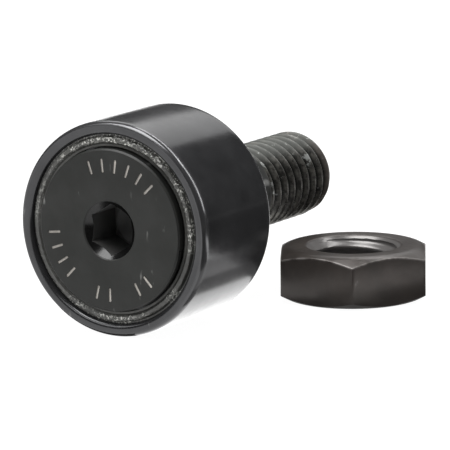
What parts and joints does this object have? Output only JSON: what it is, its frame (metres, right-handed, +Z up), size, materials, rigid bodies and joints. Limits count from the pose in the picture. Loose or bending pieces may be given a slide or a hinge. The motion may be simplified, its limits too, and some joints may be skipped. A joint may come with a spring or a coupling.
{
  "type": "cam follower",
  "caption": "Sealed stud-type cam follower: a crowned needle-bearing roller on a threaded stud with a hex-socket flange, with its loose hex nut beside it.",
  "frame": {"origin": "on the stud's axis at the end plate's outer face, which is the mounting shoulder", "axes": "+X along the stud towards its threaded end, +Z up from the surface that the roller and the nut lie on, +Y away from the nut"},
  "size_m": [0.032, 0.0268, 0.019],
  "materials": {
    "flange_and_stud_steel": "matte black oxide over turned steel",
    "end_plate_steel": "matte black oxide",
    "roller_steel": "glossy black oxide over ground steel",
    "seal_rubber": "greased black rubber",
    "cage_steel": "pressed steel",
    "needle_steel": "polished bearing steel",
    "nut_steel": "oiled black oxide, slightly brown"
  },
  "bodies": {
    "stud_body": {"stud": "flange_and_stud_steel", "end_plate": "end_plate_steel"},
    "roller": {"outer_ring": "roller_steel", "front_seal": "seal_rubber", "rear_seal": "seal_rubber"},
    "cage": {"needle_cage": "cage_steel"},
    "needle_01_body": {"needle_01": "needle_steel"},
    "needle_02_body": {"needle_02": "needle_steel"},
    "needle_03_body": {"needle_03": "needle_steel"},
    "needle_04_body": {"needle_04": "needle_steel"},
    "needle_05_body": {"needle_05": "needle_steel"},
    "needle_06_body": {"needle_06": "needle_steel"},
    "needle_07_body": {"needle_07": "needle_steel"},
    "needle_08_body": {"needle_08": "needle_steel"},
    "needle_09_body": {"needle_09": "needle_steel"},
    "needle_10_body": {"needle_10": "needle_steel"},
    "needle_11_body": {"needle_11": "needle_steel"},
    "needle_12_body": {"needle_12": "needle_steel"},
    "needle_13_body": {"needle_13": "needle_steel"},
    "nut": {"hex_nut": "nut_steel"}
  },
  "joints": [
    {"name": "roller_spin", "type": "hinge", "parent": "stud_body", "child": "roller", "pos_m": [-0.0061, 0, 0], "axis": [1, 0, 0], "continuous": true},
    {"name": "cage_spin", "type": "hinge", "parent": "stud_body", "child": "cage", "pos_m": [-0.0061, 0, 0], "axis": [1, 0, 0], "continuous": true},
    {"name": "needle_01_spin", "type": "hinge", "parent": "cage", "child": "needle_01_body", "pos_m": [-0.0061, 0.006, 0], "axis": [1, 0, 0], "continuous": true},
    {"name": "needle_02_spin", "type": "hinge", "parent": "cage", "child": "needle_02_body", "pos_m": [-0.0061, 0.00531, 0.00279], "axis": [1, 0, 0], "continuous": true},
    {"name": "needle_03_spin", "type": "hinge", "parent": "cage", "child": "needle_03_body", "pos_m": [-0.0061, 0.00341, 0.00494], "axis": [1, 0, 0], "continuous": true},
    {"name": "needle_04_spin", "type": "hinge", "parent": "cage", "child": "needle_04_body", "pos_m": [-0.0061, 0.00072, 0.00596], "axis": [1, 0, 0], "continuous": true},
    {"name": "needle_05_spin", "type": "hinge", "parent": "cage", "child": "needle_05_body", "pos_m": [-0.0061, -0.00213, 0.00561], "axis": [1, 0, 0], "continuous": true},
    {"name": "needle_06_spin", "type": "hinge", "parent": "cage", "child": "needle_06_body", "pos_m": [-0.0061, -0.00449, 0.00398], "axis": [1, 0, 0], "continuous": true},
    {"name": "needle_07_spin", "type": "hinge", "parent": "cage", "child": "needle_07_body", "pos_m": [-0.0061, -0.00583, 0.00144], "axis": [1, 0, 0], "continuous": true},
    {"name": "needle_08_spin", "type": "hinge", "parent": "cage", "child": "needle_08_body", "pos_m": [-0.0061, -0.00583, -0.00144], "axis": [1, 0, 0], "continuous": true},
    {"name": "needle_09_spin", "type": "hinge", "parent": "cage", "child": "needle_09_body", "pos_m": [-0.0061, -0.00449, -0.00398], "axis": [1, 0, 0], "continuous": true},
    {"name": "needle_10_spin", "type": "hinge", "parent": "cage", "child": "needle_10_body", "pos_m": [-0.0061, -0.00213, -0.00561], "axis": [1, 0, 0], "continuous": true},
    {"name": "needle_11_spin", "type": "hinge", "parent": "cage", "child": "needle_11_body", "pos_m": [-0.0061, 0.00072, -0.00596], "axis": [1, 0, 0], "continuous": true},
    {"name": "needle_12_spin", "type": "hinge", "parent": "cage", "child": "needle_12_body", "pos_m": [-0.0061, 0.00341, -0.00494], "axis": [1, 0, 0], "continuous": true},
    {"name": "needle_13_spin", "type": "hinge", "parent": "cage", "child": "needle_13_body", "pos_m": [-0.0061, 0.00531, -0.00279], "axis": [1, 0, 0], "continuous": true},
    {"name": "nut_slide", "type": "slide", "parent": "stud_body", "child": "nut", "axis": [0, -1, 0], "range_m": [0, 0.03]}
  ],
  "couplings": [
    {"joint": "cage_spin", "follows": "roller_spin", "ratio": 0.58417},
    {"joint": "needle_01_spin", "follows": "roller_spin", "ratio": 2.915},
    {"joint": "needle_02_spin", "follows": "roller_spin", "ratio": 2.915},
    {"joint": "needle_03_spin", "follows": "roller_spin", "ratio": 2.915},
    {"joint": "needle_04_spin", "follows": "roller_spin", "ratio": 2.915},
    {"joint": "needle_05_spin", "follows": "roller_spin", "ratio": 2.915},
    {"joint": "needle_06_spin", "follows": "roller_spin", "ratio": 2.915},
    {"joint": "needle_07_spin", "follows": "roller_spin", "ratio": 2.915},
    {"joint": "needle_08_spin", "follows": "roller_spin", "ratio": 2.915},
    {"joint": "needle_09_spin", "follows": "roller_spin", "ratio": 2.915},
    {"joint": "needle_10_spin", "follows": "roller_spin", "ratio": 2.915},
    {"joint": "needle_11_spin", "follows": "roller_spin", "ratio": 2.915},
    {"joint": "needle_12_spin", "follows": "roller_spin", "ratio": 2.915},
    {"joint": "needle_13_spin", "follows": "roller_spin", "ratio": 2.915}
  ]
}
